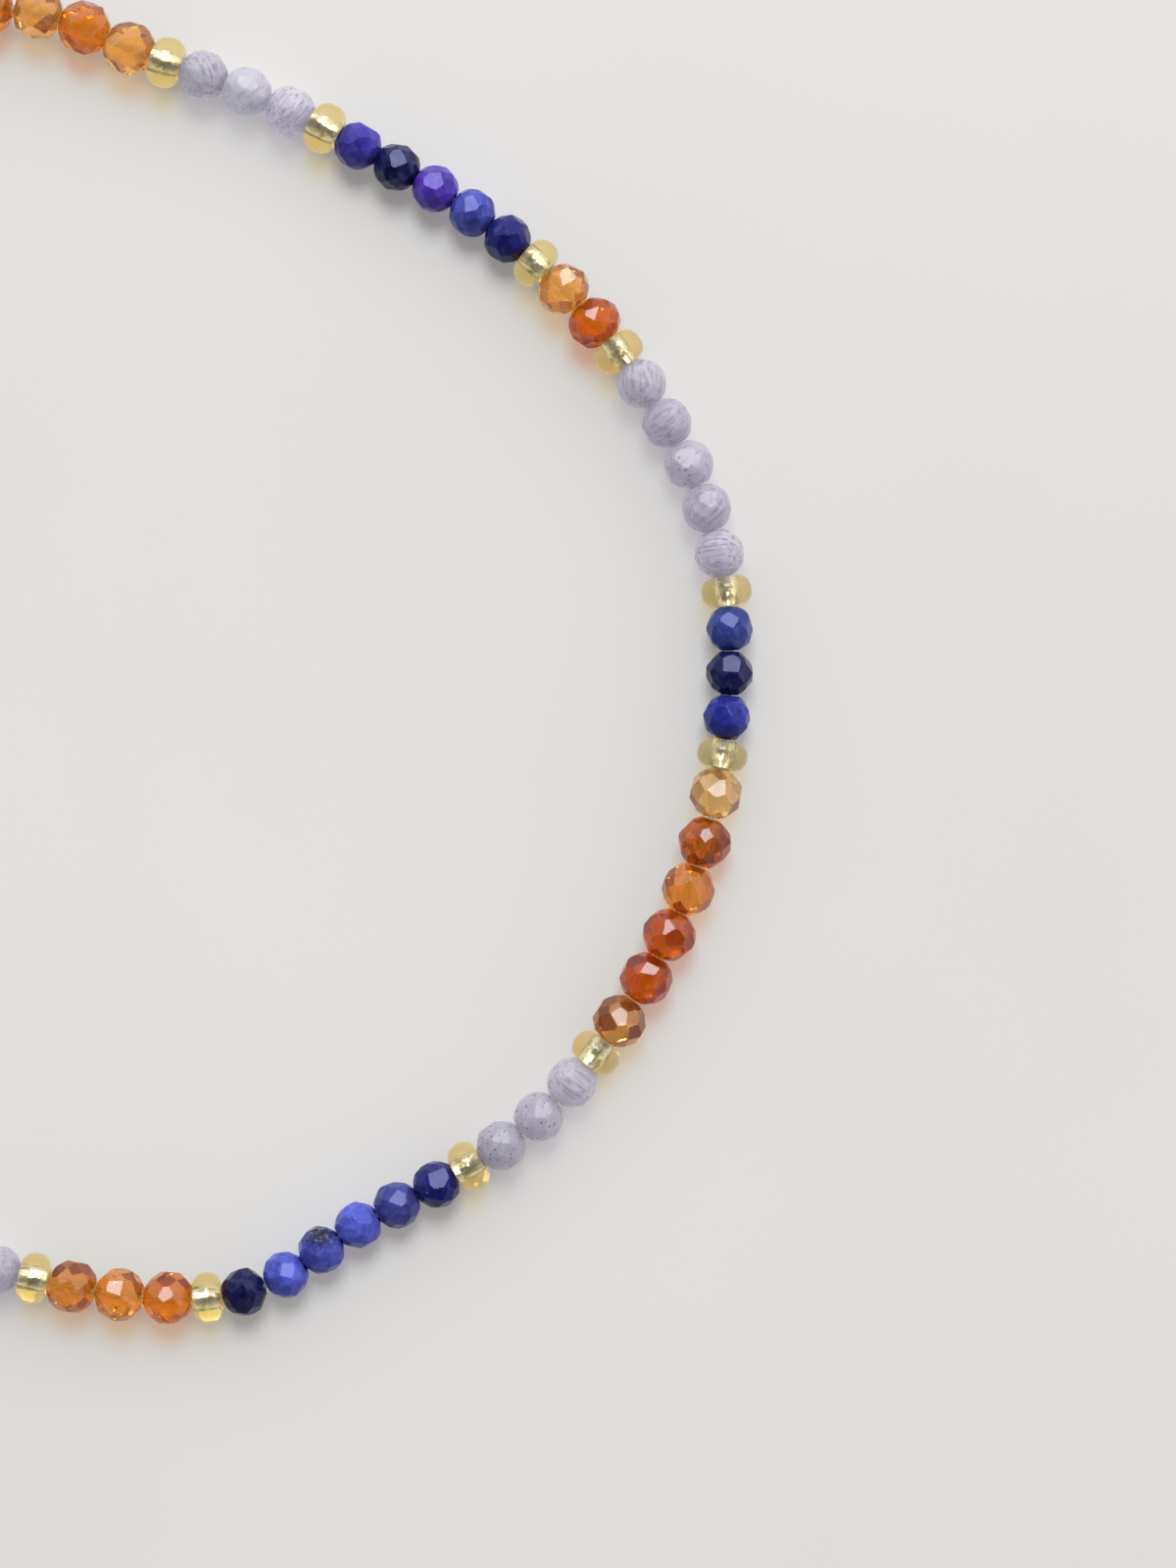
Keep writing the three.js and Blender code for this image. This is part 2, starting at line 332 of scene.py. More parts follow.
def stone_mesh(rng, across, length, wobble, edge, hole, keep=None, flash=None, clear_of=(0, 0, 1), cut=1.0):
    """One faceted stone about local Z, in mm: points, normals, faces, material
    index (1 in the bore) and each point's facet number."""
    scale = np.array([across / 2, across / 2, length / 2 / END_RISE])
    best = None
    for attempt in range(80):         # keep the other facets clear of the flash
        spin = rng.uniform(0, 2 * math.pi / ROUND) if keep is None else 0.0
        c, w = math.cos(spin), math.sin(spin)
        normals, far = stone_planes(rng, wobble, keep, flash, scale, cut)
        normals = normals @ np.array([[c, w, 0], [-w, c, 0], [0, 0, 1]])
        true = normals / scale
        true /= np.linalg.norm(true, axis=1, keepdims=True)
        if keep is not None:
            true[keep[0] * ROUND + keep[1]] = [0, 0, 0]
        near = float(np.max(true @ clear_of))
        if best is None or near < best[0]:
            best = (near, normals, far)
        if near < math.cos(math.radians(9.5)):
            break
    normals, far = best[1:]
    corners, around = polyhedron(normals, far)
    corners = corners * scale
    normals = normals / scale
    normals /= np.linalg.norm(normals, axis=1, keepdims=True)
    co, no, faces, mats, facet, inset = [], [], [], [], [], {}
    ends = []
    for i, ks in enumerate(around):
        if not ks:
            continue
        pts = corners[ks]
        mid = pts.mean(0)
        rim = min(
            np.linalg.norm(np.cross(pts[(k + 1) % len(pts)] - pts[k], mid - pts[k])) / max(1e-9, np.linalg.norm(pts[(k + 1) % len(pts)] - pts[k]))
            for k in range(len(pts))
        )
        s = 1 - min(0.35, edge / max(rim, 1e-6))
        ids = []
        for k, p in zip(ks, pts):
            inset[(i, k)] = len(co)
            ids.append(len(co))
            co.append(mid + (p - mid) * s)
            no.append(normals[i])
            facet.append(i)
        if i < len(around) - 2:
            faces.append(ids)
            mats.append(0)
        else:
            ends.append((i, ids))
    seen, at = {}, {}
    for i, ks in enumerate(around):
        for k in range(len(ks)):
            a, b = ks[k], ks[(k + 1) % len(ks)]
            seen.setdefault(tuple(sorted((a, b))), []).append((i, a, b))
        for k in ks:
            at.setdefault(k, []).append(i)
    middle = np.zeros(3)

    def outward(f):
        p = np.array([co[v] for v in f])
        n = np.cross(p[1] - p[0], p[2] - p[1]) + np.cross(p[-1] - p[-2], p[0] - p[-1])
        return f if n @ (p.mean(0) - middle) > 0 else f[::-1]

    for (a, b), pair in seen.items():
        if len(pair) == 2:
            i, j = pair[0][0], pair[1][0]
            faces.append(outward([inset[(i, a)], inset[(i, b)], inset[(j, b)], inset[(j, a)]]))
            mats.append(0)
    for k, about in at.items():
        if len(about) >= 3:
            ids = [inset[(i, k)] for i in about]
            axis = corners[k] / np.linalg.norm(corners[k])
            u = np.cross(axis, [0.3, 0.5, 0.8])
            v = np.cross(axis, u)
            off = [co[n] - corners[k] for n in ids]
            faces.append(outward([ids[n] for n in np.argsort([math.atan2(q @ v, q @ u) for q in off])]))
            mats.append(0)
    # the drilled ends
    sides = 20
    angles = [2 * math.pi * k / sides for k in range(sides)]
    last = None
    for i, ids in ends:
        side = 1 if normals[i][2] > 0 else -1
        z = side * length / 2
        rings = []
        for r, dz, nz in ((COUNTERSINK, 0.0, 1.0), (BORE, 0.05, 0.25), (BORE, 0.10, 0.0), (hole, 0.32, 0.0)):
            ring = []
            for a in angles:
                ring.append(len(co))
                co.append(np.array([r * math.cos(a), r * math.sin(a), z - side * dz]))
                no.append(np.array([-(1 - nz) * math.cos(a), -(1 - nz) * math.sin(a), side * max(nz, 1e-3)]))
                facet.append(i)
            rings.append(ring)
        ids = sorted(ids, key=lambda v: math.atan2(co[v][1], co[v][0]) % (2 * math.pi))
        oa = [math.atan2(co[v][1], co[v][0]) % (2 * math.pi) for v in ids]
        flat = zip_rings(ids, oa, rings[0], angles)
        faces += [f if side > 0 else f[::-1] for f in flat]
        mats += [0] * len(flat)
        for n, (r0, r1) in enumerate(zip(rings[:-1], rings[1:])):
            for k in range(sides):
                f = [r0[k], r0[(k + 1) % sides], r1[(k + 1) % sides], r1[k]]
                faces.append(f if side > 0 else f[::-1])
                mats.append(1)
        if last is None:
            last = rings[-1]
        else:
            for k in range(sides):
                faces.append([last[k], last[(k + 1) % sides], rings[-1][(k + 1) % sides], rings[-1][k]])
                mats.append(1)
    return np.array(co), np.array(no), faces, mats, np.array(facet)


# ---------------------------------------------------- how each stone looks
# Body colours of the stones (linear RGB).
ORANGE = {
    "pale":  (0.96, 0.78, 0.44), "honey": (0.95, 0.62, 0.22), "amber": (0.94, 0.50, 0.10),
    "warm":  (0.90, 0.38, 0.034), "red":  (0.88, 0.28, 0.010), "deep": (0.78, 0.20, 0.006),
}
LAVENDER = {"lilac": (0.46, 0.445, 0.53), "pale": (0.56, 0.555, 0.63), "grey": (0.43, 0.42, 0.49)}
BLUE = {
    "royal": (0.018, 0.025, 0.25), "dark": (0.009, 0.011, 0.14), "navy": (0.005, 0.006, 0.062),
    "violet": (0.045, 0.034, 0.34), "purple": (0.075, 0.034, 0.40), "denim": (0.034, 0.058, 0.29),
    "light": (0.055, 0.070, 0.43), "sky": (0.072, 0.092, 0.52), "slate": (0.040, 0.050, 0.26),
}
# Stones by run and place: body, the side that its clearest facet faces (east,
# north, as shares of the radius), and two amounts: for orange clouding and
# specks; for lavender streaks and specks; for blue mottling and white flecks.
# "lie" is the direction of a lavender stone's streaks on the surface.
LOOKS = {
    (0, 1): ("warm", None, 0.3, 0.2), (0, 2): ("honey", None, 0.3, 0.2), (0, 3): ("warm", None, 0.4, 0.3), (0, 4): ("honey", None, 0.4, 0.3),
    (1, 0): ("pale", None, 1.0, 0.2, 112), (1, 1): ("pale", (0.16, 0.44), 0.5, 0.2, 40), (1, 2): ("pale", None, 0.9, 0.2, 50),
    (2, 0): ("violet", None, 0.5, 0.1), (2, 1): ("navy", (0.08, 0.41), 0.5, 0.1), (2, 2): ("purple", (-0.33, 0.37), 0.5, 0.2),
    (2, 3): ("light", (-0.16, 0.49), 1.0, 0.3), (2, 4): ("dark", None, 0.4, 0.1),
    (3, 0): ("honey", (0.23, 0.62), 0.8, 0.3), (3, 1): ("red", (-0.19, 0.31), 0.2, 0.1),
    (4, 0): ("pale", None, 0.9, 0.1, 96), (4, 1): ("lilac", None, 0.8, 0.3, 42), (4, 2): ("lilac", (-0.35, 0.24), 0.4, 0.8, 30),
    (4, 3): ("lilac", (0.08, 0.46), 0.8, 0.3, 45), (4, 4): ("pale", None, 1.1, 0.2, 5),
    (5, 0): ("denim", (0.0, 0.36), 0.5, 0.2), (5, 1): ("navy", (0.04, 0.58), 0.4, 0.4), (5, 2): ("royal", None, 0.3, 0.1),
    (6, 0): ("pale", (0.04, 0.15), 0.3, 0.1), (6, 1): ("red", (0.15, 0.23), 0.2, 0.1), (6, 2): ("amber", None, 0.8, 0.8),
    (6, 3): ("deep", (-0.04, 0.23), 0.2, 0.3), (6, 4): ("deep", (0.35, 0.46), 0.4, 0.3), (6, 5): ("honey", (0.08, 0.04), 0.1, 0.2),
    (7, 0): ("pale", None, 0.8, 0.2, 144), (7, 1): ("lilac", (0.23, 0.38), 0.4, 1.0, 70), (7, 2): ("grey", (0.04, 0.45), 0.5, 1.0, 70),
    (8, 0): ("dark", (0.29, 0.46), 0.4, 0.6), (8, 1): ("slate", (0.16, 0.37), 0.6, 0.3), (8, 2): ("sky", None, 0.7, 0.2),
    (8, 3): ("light", None, 0.6, 0.2), (8, 4): ("sky", (0.04, 0.17), 1.0, 0.2), (8, 5): ("navy", None, 0.3, 0.1),
    (9, 0): ("warm", (-0.16, 0.12), 0.4, 0.3), (9, 1): ("amber", (-0.5, 0.23), 0.5, 0.3), (9, 2): ("amber", None, 1.0, 0.4),
    (10, 0): ("lilac", None, 0.7, 0.3, 40),
}
WORDS = {"orange": list(ORANGE), "lavender": list(LAVENDER), "blue": list(BLUE)}
BODY = {"orange": ORANGE, "lavender": LAVENDER, "blue": BLUE}


def bead_turn(rng, frame3, d):
    """Rotation of a stone's own axes into the row frame, and the facet that it
    shows to the direction `d`, given as (row, place), or None."""
    if d is None:
        roll, tilt, keep = rng.uniform(0, 2 * math.pi), rng.normal(0, 0.025), None
    else:
        local = frame3.T @ d                     # across, up, along
        lat = math.asin(max(-1, min(1, local[2])))
        row = min(range(len(FACET_ROWS)), key=lambda k: abs(FACET_ROWS[k][0] - lat))
        turn = FACET_ROWS[row][2] * math.pi / ROUND
        place_no = int(rng.integers(0, ROUND))
        roll = math.atan2(local[1], local[0]) - turn - place_no * 2 * math.pi / ROUND
        tilt = max(-0.05, min(0.05, lat - FACET_ROWS[row][0]))
        keep = (row, place_no)
    roll_m = np.array([[math.cos(roll), -math.sin(roll), 0], [math.sin(roll), math.cos(roll), 0], [0, 0, 1]])
    if d is None:
        about = np.array([1.0, 0, 0])
    else:                                         # tilt the axis in the plane of the facing direction
        flat = np.array([local[0], local[1], 0.0])
        flat /= max(1e-9, np.linalg.norm(flat))
        about = np.cross(flat, [0, 0, 1.0])
    tilt_m = np.array(Matrix.Rotation(tilt, 3, Vector(about)))
    return frame3 @ tilt_m @ roll_m, keep


# --------------------------------------------------------------- materials
def node(nt, kind, **settings):
    n = nt.nodes.new("ShaderNode" + kind)
    for k, v in settings.items():
        setattr(n, k, v)
    return n


def material(name):
    m = bpy.data.materials.new(name)
    m.use_nodes = True
    nt = m.node_tree
    nt.nodes.clear()
    out = node(nt, "OutputMaterial")
    shader = node(nt, "BsdfPrincipled")
    nt.links.new(shader.outputs[0], out.inputs["Surface"])
    return m, nt, shader, out


def attribute(nt, name, output="Color"):
    return node(nt, "Attribute", attribute_name=name).outputs[output]


def maths(nt, operation, a, b=None, clamp=False):
    n = node(nt, "Math", operation=operation, use_clamp=clamp)
    for i, v in enumerate((a, b)):
        if v is None:
            continue
        if isinstance(v, (int, float)):
            n.inputs[i].default_value = v
        else:
            nt.links.new(v, n.inputs[i])
    return n.outputs[0]


def mix(nt, factor, a, b, blend="MIX"):
    n = node(nt, "Mix", data_type="RGBA", blend_type=blend)
    for i, v in ((0, factor), (6, a), (7, b)):
        if isinstance(v, (int, float)):
            n.inputs[i].default_value = v
        elif isinstance(v, tuple):
            n.inputs[i].default_value = (*v, 1)
        else:
            nt.links.new(v, n.inputs[i])
    return n.outputs[2]


def ramp(nt, value, low, high, to_low=0.0, to_high=1.0):
    n = node(nt, "MapRange", interpolation_type="SMOOTHSTEP")
    nt.links.new(value, n.inputs[0])
    for i, v in enumerate((low, high, to_low, to_high)):
        n.inputs[i + 1].default_value = v
    return n.outputs[0]


def noise_of(nt, vector, scale, detail=2.0, rough=0.5, distortion=0.0):
    n = node(nt, "TexNoise")
    nt.links.new(vector, n.inputs["Vector"])
    n.inputs["Scale"].default_value = scale
    n.inputs["Detail"].default_value = detail
    n.inputs["Roughness"].default_value = rough
    n.inputs["Distortion"].default_value = distortion
    return n.outputs[0]


def voronoi_of(nt, vector, scale, rand=1.0):
    n = node(nt, "TexVoronoi", feature="F1")
    nt.links.new(vector, n.inputs["Vector"])
    n.inputs["Scale"].default_value = scale
    n.inputs["Randomness"].default_value = rand
    return n.outputs["Distance"]


def stretched(nt, vector, x, y, z):
    n = node(nt, "Mapping", vector_type="POINT")
    nt.links.new(vector, n.inputs["Vector"])
    n.inputs["Scale"].default_value = (x, y, z)
    return n.outputs[0]


def bump(nt, shader, height, strength, distance):
    n = node(nt, "Bump")
    nt.links.new(height, n.inputs["Height"])
    n.inputs["Strength"].default_value = strength
    n.inputs["Distance"].default_value = distance
    nt.links.new(n.outputs[0], shader.inputs["Normal"])


def part_of(nt, colour, index):
    n = node(nt, "SeparateXYZ")
    nt.links.new(colour, n.inputs[0])
    return n.outputs[index]


def each_face(nt, colour, share):
    """What one face lets through, where light crosses two: a square root."""
    root = node(nt, "Gamma")
    nt.links.new(mix(nt, 1.0, colour, (share, share, share), "MULTIPLY"), root.inputs[0])
    root.inputs[1].default_value = 0.5
    return root.outputs[0]


def lets_light_through(nt, shader, out, colour):
    """Light that falls through the glass tints the surface under it."""
    through = node(nt, "BsdfTransparent")
    if isinstance(colour, tuple):
        through.inputs[0].default_value = (*colour, 1)
    else:
        nt.links.new(colour, through.inputs[0])
    both = node(nt, "MixShader")
    path = node(nt, "LightPath")
    nt.links.new(path.outputs["Is Shadow Ray"], both.inputs[0])
    nt.links.new(shader.outputs[0], both.inputs[1])
    nt.links.new(through.outputs[0], both.inputs[2])
    nt.links.new(both.outputs[0], out.inputs["Surface"])


def absorbs(nt, out, colour, density):
    """Glass that takes colour from light by its depth."""
    v = node(nt, "VolumeAbsorption")
    v.inputs["Color"].default_value = (*colour, 1)
    v.inputs["Density"].default_value = density
    nt.links.new(v.outputs[0], out.inputs["Volume"])


def orange_stone():
    m, nt, shader, out = material("orange_stone")
    local, body, look = attribute(nt, "local", "Vector"), attribute(nt, "body"), attribute(nt, "look", "Vector")
    shade = attribute(nt, "shade", "Fac")
    cloud = ramp(nt, noise_of(nt, local, 1.1, 3, 0.55, 0.6), 0.42, 0.72)
    veil = ramp(nt, noise_of(nt, stretched(nt, local, 1, 1, 0.35), 3.2, 4, 0.6, 1.2), 0.5, 0.68)
    speck = ramp(nt, voronoi_of(nt, local, 1.7), 0.075, 0.045)
    c = mix(nt, maths(nt, "MULTIPLY", cloud, 0.3), body, mix(nt, 1.0, body, (0.9, 0.66, 0.45), "MULTIPLY"))
    c = mix(nt, maths(nt, "MULTIPLY", veil, part_of(nt, look, 0)), c, mix(nt, 1.0, c, (0.9, 0.74, 0.62), "MULTIPLY"))
    c = mix(nt, maths(nt, "MULTIPLY", speck, part_of(nt, look, 1), True), c, (0.20, 0.045, 0.012))
    # painted shade: the marked facets get a much darker body colour
    nt.links.new(mix(nt, shade, c, mix(nt, 1.0, c, (0.15, 0.03, 0.02), "MULTIPLY")), shader.inputs["Base Color"])
    painted_glow = mix(nt, shade, c, mix(nt, 1.0, c, (0.9, 0.22, 0.1), "MULTIPLY"))
    nt.links.new(painted_glow, shader.inputs["Emission Color"])                      # painted glow, standing in for light gathered inside the stone; weaker on the shaded facets
    shader.inputs["Emission Strength"].default_value = 0.035
    shader.inputs["Specular Tint"].default_value = (0.70, 0.78, 0.88, 1)
    shader.inputs["Transmission Weight"].default_value = 0.94
    shader.inputs["IOR"].default_value = 1.6
    shader.inputs["Roughness"].default_value = 0.02
    lets_light_through(nt, shader, out, each_face(nt, c, 1.0))
    absorbs(nt, out, (1.0, 0.78, 0.46), 200.0)
    return m


def orange_bore():
    m, nt, shader, out = material("orange_bore")
    local, body = attribute(nt, "local", "Vector"), attribute(nt, "body")
    grain = noise_of(nt, local, 9, 3)
    c = mix(nt, 0.8, body, (1.0, 0.93, 0.80))
    c = mix(nt, ramp(nt, grain, 0.35, 0.7), c, mix(nt, 1.0, c, (0.90, 0.84, 0.78), "MULTIPLY"))
    nt.links.new(c, shader.inputs["Base Color"])
    shader.inputs["Transmission Weight"].default_value = 1.0
    shader.inputs["IOR"].default_value = 1.02
    shader.inputs["Roughness"].default_value = 0.5
    shader.inputs["Emission Color"].default_value = (1.0, 0.82, 0.5, 1)       # painted glow, standing in for light gathered round the drilled hole
    shader.inputs["Emission Strength"].default_value = 0.03
    lets_light_through(nt, shader, out, each_face(nt, c, 0.98))
    return m


def lavender_stone():
    m, nt, shader, out = material("lavender_stone")
    local, body, look = attribute(nt, "local", "Vector"), attribute(nt, "body"), attribute(nt, "look", "Vector")
    cloud = ramp(nt, noise_of(nt, local, 1.0, 2, 0.5), 0.35, 0.7)
    needle = ramp(nt, noise_of(nt, stretched(nt, local, 1, 1, 0.05), 6.5, 2, 0.6, 0.1), 0.47, 0.67)
    fine = ramp(nt, noise_of(nt, stretched(nt, local, 1, 1, 0.07), 12.0, 2, 0.55, 0.1), 0.48, 0.68)
    speck = ramp(nt, voronoi_of(nt, stretched(nt, local, 1, 1, 0.7), 4.4), 0.29, 0.15)
    speck = maths(nt, "MULTIPLY", speck, ramp(nt, noise_of(nt, local, 2.6, 2), 0.36, 0.52))
    c = mix(nt, maths(nt, "MULTIPLY", cloud, 0.4), body, mix(nt, 1.0, body, (1.1, 1.1, 1.06), "MULTIPLY"))
    dark = mix(nt, 1.0, body, (0.46, 0.40, 0.52), "MULTIPLY")
    streak = part_of(nt, look, 0)
    c = mix(nt, maths(nt, "MULTIPLY", needle, maths(nt, "MULTIPLY", streak, 0.95), True), c, dark)
    c = mix(nt, maths(nt, "MULTIPLY", fine, maths(nt, "MULTIPLY", streak, 0.55), True), c, dark)
    c = mix(nt, maths(nt, "MULTIPLY", speck, part_of(nt, look, 1), True), c, (0.05, 0.045, 0.06))
    nt.links.new(c, shader.inputs["Base Color"])
    shader.inputs["Roughness"].default_value = 0.36
    shader.inputs["IOR"].default_value = 1.5
    shader.inputs["Transmission Weight"].default_value = 0.4
    shader.inputs["Subsurface Weight"].default_value = 1.0
    shader.inputs["Subsurface Radius"].default_value = (1.0, 0.96, 1.0)
    shader.inputs["Subsurface Scale"].default_value = 0.0016
    shader.inputs["Emission Color"].default_value = (0.70, 0.67, 0.82, 1)     # painted glow, standing in for light that spreads through the cloudy stone
    shader.inputs["Emission Strength"].default_value = 0.12
    bump(nt, shader, maths(nt, "ADD", noise_of(nt, local, 7, 3), maths(nt, "MULTIPLY", needle, -0.3)), 0.2, 0.00002)
    lets_light_through(nt, shader, out, each_face(nt, c, 1.22))
    return m


def blue_stone():
    m, nt, shader, out = material("blue_stone")
    local, body, look = attribute(nt, "local", "Vector"), attribute(nt, "body"), attribute(nt, "look", "Vector")
    cloud = ramp(nt, noise_of(nt, local, 1.5, 4, 0.6, 0.4), 0.38, 0.66)
    patch = ramp(nt, noise_of(nt, local, 3.2, 3, 0.55, 0.3), 0.46, 0.72)
    c = mix(nt, 0.6, body, mix(nt, cloud, mix(nt, 1.0, body, (0.5, 0.48, 0.6), "MULTIPLY"), mix(nt, 1.0, body, (1.5, 1.5, 1.35), "MULTIPLY")))
    c = mix(nt, maths(nt, "MULTIPLY", patch, maths(nt, "MULTIPLY", part_of(nt, look, 0), 0.4), True), c, (0.13, 0.15, 0.42))
    fleck = ramp(nt, voronoi_of(nt, local, 2.3), 0.11, 0.06)
    some = ramp(nt, noise_of(nt, local, 0.9, 1), 0.5, 0.58)
    c = mix(nt, maths(nt, "MULTIPLY", maths(nt, "MULTIPLY", fleck, some), part_of(nt, look, 1), True), c, (0.42, 0.46, 0.62))
    gold = ramp(nt, voronoi_of(nt, stretched(nt, local, 1.2, 1, 0.8), 3.1), 0.075, 0.05)
    gold = maths(nt, "MULTIPLY", gold, ramp(nt, noise_of(nt, local, 1.3, 1), 0.56, 0.62))
    c = mix(nt, gold, c, (0.30, 0.26, 0.17))
    spot = part_of(nt, look, 2)
    ore = maths(nt, "MULTIPLY", ramp(nt, noise_of(nt, local, 3.4, 3), 0.30, 0.44), spot, True)
    c = mix(nt, ore, c, mix(nt, ramp(nt, noise_of(nt, local, 6.0, 2), 0.52, 0.68), (0.010, 0.012, 0.012), (0.16, 0.18, 0.14)))
    nt.links.new(c, shader.inputs["Base Color"])
    rough = ramp(nt, noise_of(nt, local, 2.2, 2), 0.3, 0.7, 0.10, 0.18)
    nt.links.new(rough, shader.inputs["Roughness"])
    shader.inputs["IOR"].default_value = 1.5
    shader.inputs["Specular IOR Level"].default_value = 0.35
    shader.inputs["Specular Tint"].default_value = (0.62, 0.65, 1.0, 1)
    bump(nt, shader, noise_of(nt, local, 9, 3), 0.18, 0.00001)
    return m


def seed_glass():
    m, nt, shader, out = material("seed_glass")
    shader.inputs["Base Color"].default_value = (1.0, 0.975, 0.93, 1)
    shader.inputs["Transmission Weight"].default_value = 0.94
    shader.inputs["IOR"].default_value = 1.52
    shader.inputs["Roughness"].default_value = 0.02
    lets_light_through(nt, shader, out, (0.96, 0.91, 0.76))
    shader.inputs["Emission Color"].default_value = (1.0, 0.74, 0.30, 1)      # painted glow, standing in for light gathered in the clear glass
    shader.inputs["Emission Strength"].default_value = 0.038
    absorbs(nt, out, (0.998, 0.875, 0.20), 600.0)
    return m


def seed_lining():
    m, nt, shader, out = material("seed_lining")
    local = attribute(nt, "local", "Vector")
    tarnish = ramp(nt, noise_of(nt, local, 3.4, 3, 0.6, 0.6), 0.46, 0.62)
    c = mix(nt, tarnish, (0.84, 0.90, 1.0), (0.40, 0.38, 0.33))
    nt.links.new(c, shader.inputs["Base Color"])
    shader.inputs["Metallic"].default_value = 1.0
    nt.links.new(ramp(nt, noise_of(nt, local, 4, 2), 0.3, 0.7, 0.14, 0.30), shader.inputs["Roughness"])
    bump(nt, shader, noise_of(nt, local, 3.2, 1, 0.5, 0.2), 0.6, 0.00010)
    return m


def thread_yarn():
    m, nt, shader, out = material("thread_yarn")
    local = attribute(nt, "local", "Vector")
    fibre = noise_of(nt, stretched(nt, local, 1, 1, 0.08), 40, 2)
    c = mix(nt, ramp(nt, fibre, 0.3, 0.7), (0.93, 0.91, 0.86), (0.98, 0.97, 0.94))
    nt.links.new(c, shader.inputs["Base Color"])
    shader.inputs["Roughness"].default_value = 0.4
    shader.inputs["Transmission Weight"].default_value = 0.85
    shader.inputs["IOR"].default_value = 1.25
    bump(nt, shader, fibre, 0.4, 0.00001)
    return m


def clasp_gold():
    m, nt, shader, out = material("clasp_gold")
    local = attribute(nt, "local", "Vector")
    worn = noise_of(nt, local, 1.2, 4, 0.6)
    c = mix(nt, ramp(nt, worn, 0.35, 0.7), (0.83, 0.60, 0.27), (0.88, 0.68, 0.36))
    nt.links.new(c, shader.inputs["Base Color"])
    shader.inputs["Metallic"].default_value = 1.0
    brushed = noise_of(nt, stretched(nt, local, 1, 1, 0.05), 26, 3)
    nt.links.new(ramp(nt, brushed, 0.3, 0.75, 0.16, 0.32), shader.inputs["Roughness"])
    bump(nt, shader, brushed, 0.12, 0.00001)
    return m


def pale_floor():
    m, nt, shader, out = material("pale_floor")
    where = node(nt, "TexCoord").outputs["Object"]
    tone = noise_of(nt, where, 14, 4, 0.55, 0.3)
    c = mix(nt, ramp(nt, tone, 0.3, 0.7), (0.585, 0.597, 0.590), (0.625, 0.637, 0.630))
    nt.links.new(c, shader.inputs["Base Color"])
    shader.inputs["Roughness"].default_value = 0.45
    shader.inputs["Specular IOR Level"].default_value = 0.2
    shader.inputs["Emission Color"].default_value = (1.0, 0.94, 0.90, 1)     # light that spreads through the pale stone
    shader.inputs["Emission Strength"].default_value = 0.2
    return m


# ------------------------------------------------------------------- stones
MATERIALS = {
    "orange": [orange_stone(), orange_bore()],
    "lavender": [lavender_stone()],
    "blue": [blue_stone()],
}
WOBBLE = {"orange": 0.055, "lavender": 0.055, "blue": 0.06}
EDGE = {"orange": 0.016, "lavender": 0.035, "blue": 0.026}
CUT = {"orange": 1.026, "lavender": 0.97, "blue": 0.955}
runs, made = {}, []
for index, (number, k, kind, length, at) in enumerate(stones):
    rng = np.random.default_rng(7100 + index)
    look = LOOKS.get((number, k))
    if look is None:
        words = WORDS[kind]
        look = (words[int(rng.integers(0, len(words)))], None, rng.uniform(0.3, 0.9), rng.uniform(0.1, 0.5), rng.uniform(0, 180))
    word, facing, first, second = look[:4]
    height = ACROSS[kind] / 2
    origin, axes = stand(at, height)
    glance, seen = flash_at(origin, facing)
    turn, keep = bead_turn(rng, axes, seen)
    flash = None if seen is None else turn.T @ nearest(glance, seen, 4.2)
    co, no, faces, mats, facet = stone_mesh(
        rng, ACROSS[kind], length, WOBBLE[kind], EDGE[kind], HOLE[kind], keep, flash, turn.T @ glance, CUT[kind])
    made.append((rng, look, height, origin, turn, keep, co, no, faces, mats, facet))

